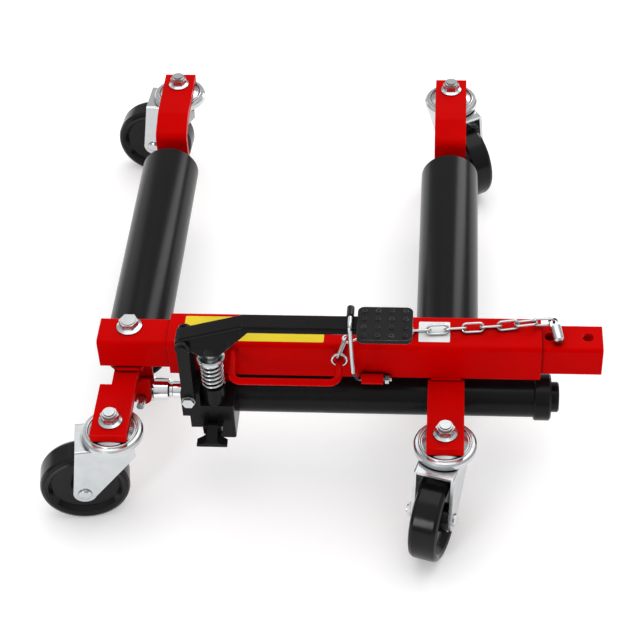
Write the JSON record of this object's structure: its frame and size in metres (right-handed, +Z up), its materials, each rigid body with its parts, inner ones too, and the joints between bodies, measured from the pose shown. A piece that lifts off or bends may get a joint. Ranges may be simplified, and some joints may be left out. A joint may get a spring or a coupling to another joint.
{
  "type": "vehicle positioning jack",
  "caption": "Foot-pumped wheel dolly: telescoping red beam draws a pair of black rollers together under a tyre to lift it, on swivelling casters.",
  "frame": {"origin": "on the floor, under the middle of the whole jack's footprint", "axes": "+X along the beam towards the lock pin's end, +Y away from the user along the rollers, +Z up"},
  "size_m": [0.6212, 0.7418, 0.262],
  "materials": {
    "red_paint": "gloss powder coat",
    "black_paint": "satin black",
    "zinc": "bright zinc plate",
    "chrome": "hard chrome",
    "spring_steel": "bright zinc plate",
    "bronze": "plain bearing bronze",
    "wheel_black": "moulded, smooth",
    "pad_rubber": "studded"
  },
  "bodies": {
    "frame": {"outer_tube": "red_paint", "right_front_bracket": "red_paint", "right_rear_bracket": "red_paint", "right_axle": "zinc", "right_caster_plates": "zinc", "right_kingpins": "zinc", "ram_cylinder": "black_paint", "ram_end_cap": "black_paint", "ram_plug": "black_paint", "ram_mounts": "red_paint", "pump_block": "black_paint", "pump_barrel": "black_paint", "pump_links": "black_paint", "pivot_pin": "black_paint", "link_bolt": "zinc", "release_pin": "zinc", "carry_handle": "red_paint", "latch_barrel": "red_paint", "return_spring": "spring_steel", "tether_chain": "zinc"},
    "left_arm": {"inner_tube": "red_paint", "left_front_bracket": "red_paint", "left_rear_bracket": "red_paint", "left_axle": "zinc", "left_caster_plates": "zinc", "left_kingpins": "zinc", "arm_packing": "red_paint", "arm_bolt": "zinc", "ram_rod": "chrome", "ram_piston": "zinc", "ram_rod_eye": "chrome", "ram_lugs": "red_paint", "clevis_pin": "zinc"},
    "right_roller_set": {"right_roller": "black_paint", "right_roller_ends": "black_paint", "right_roller_bushes": "bronze"},
    "left_roller_set": {"left_roller": "black_paint", "left_roller_ends": "black_paint", "left_roller_bushes": "bronze"},
    "pedal": {"pedal_lever": "black_paint", "foot_pad": "pad_rubber", "plunger_pin": "black_paint"},
    "plunger": {"pump_plunger": "zinc"},
    "release": {"release_pedal": "black_paint"},
    "latch": {"latch_wire": "zinc", "latch_cap": "wheel_black", "latch_nut": "zinc"},
    "pin": {"lock_pin": "zinc"},
    "front_left_swivel": {"front_left_fork": "zinc", "front_left_axle_bolt": "zinc"},
    "front_left_roll": {"front_left_wheel": "wheel_black"},
    "rear_left_swivel": {"rear_left_fork": "zinc", "rear_left_axle_bolt": "zinc"},
    "rear_left_roll": {"rear_left_wheel": "wheel_black"},
    "front_right_swivel": {"front_right_fork": "zinc", "front_right_axle_bolt": "zinc"},
    "front_right_roll": {"front_right_wheel": "wheel_black"},
    "rear_right_swivel": {"rear_right_fork": "zinc", "rear_right_axle_bolt": "zinc"},
    "rear_right_roll": {"rear_right_wheel": "wheel_black"}
  },
  "joints": [
    {"name": "arm_slide", "type": "slide", "parent": "frame", "child": "left_arm", "axis": [-1, 0, 0], "range_m": [0, 0.19]},
    {"name": "right_roller_spin", "type": "hinge", "parent": "frame", "child": "right_roller_set", "pos_m": [0.14176, 0.03594, 0.092], "axis": [0, 1, 0], "continuous": true},
    {"name": "left_roller_spin", "type": "hinge", "parent": "left_arm", "child": "left_roller_set", "pos_m": [-0.22094, 0.04464, 0.092], "axis": [0, 1, 0], "continuous": true},
    {"name": "pedal_pivot", "type": "hinge", "parent": "frame", "child": "pedal", "pos_m": [-0.13894, -0.22756, 0.221], "axis": [0, 1, 0], "range_deg": [0, 11.5], "stiffness_Nm_per_rad": 10, "springref_deg": -11.46},
    {"name": "plunger_stroke", "type": "slide", "parent": "frame", "child": "plunger", "axis": [0, 0, -1], "range_m": [0, 0.0055], "deforming": ["return_spring"]},
    {"name": "release_pivot", "type": "hinge", "parent": "frame", "child": "release", "pos_m": [-0.11494, -0.24606, 0.102], "axis": [1, 0, 0], "range_deg": [0, 20], "stiffness_Nm_per_rad": 0.6, "springref_deg": -8.59},
    {"name": "latch_pivot", "type": "hinge", "parent": "frame", "child": "latch", "pos_m": [0.06106, -0.20906, 0.146], "axis": [1, 0, 0], "range_deg": [0, 95]},
    {"name": "pin_lift", "type": "slide", "parent": "frame", "child": "pin", "axis": [0, 0, 1], "range_m": [0, 0.06], "deforming": ["tether_chain"]},
    {"name": "front_left_swivel_turn", "type": "hinge", "parent": "left_arm", "child": "front_left_swivel", "pos_m": [-0.22094, -0.27366, 0.11], "axis": [0, 0, 1], "continuous": true},
    {"name": "front_left_wheel_spin", "type": "hinge", "parent": "front_left_swivel", "child": "front_left_roll", "pos_m": [-0.25946, -0.27976, 0.05], "axis": [0.1564, -0.9877, 0], "continuous": true},
    {"name": "rear_left_swivel_turn", "type": "hinge", "parent": "left_arm", "child": "rear_left_swivel", "pos_m": [-0.22094, 0.33694, 0.11], "axis": [0, 0, 1], "continuous": true},
    {"name": "rear_left_wheel_spin", "type": "hinge", "parent": "rear_left_swivel", "child": "rear_left_roll", "pos_m": [-0.25984, 0.33966, 0.05], "axis": [-0.0698, -0.9976, 0], "continuous": true},
    {"name": "front_right_swivel_turn", "type": "hinge", "parent": "frame", "child": "front_right_swivel", "pos_m": [0.14176, -0.28236, 0.11], "axis": [0, 0, 1], "continuous": true},
    {"name": "front_right_wheel_spin", "type": "hinge", "parent": "front_right_swivel", "child": "front_right_roll", "pos_m": [0.13101, -0.31985, 0.05], "axis": [0.9613, -0.2756, 0], "continuous": true},
    {"name": "rear_right_swivel_turn", "type": "hinge", "parent": "frame", "child": "rear_right_swivel", "pos_m": [0.14176, 0.32824, 0.11], "axis": [0, 0, 1], "continuous": true},
    {"name": "rear_right_wheel_spin", "type": "hinge", "parent": "rear_right_swivel", "child": "rear_right_roll", "pos_m": [0.16126, 0.29447, 0.05], "axis": [0.866, 0.5, 0], "continuous": true}
  ],
  "couplings": [
    {"joint": "plunger_stroke", "follows": "pedal_pivot", "m_per_rad": 0.0258}
  ]
}
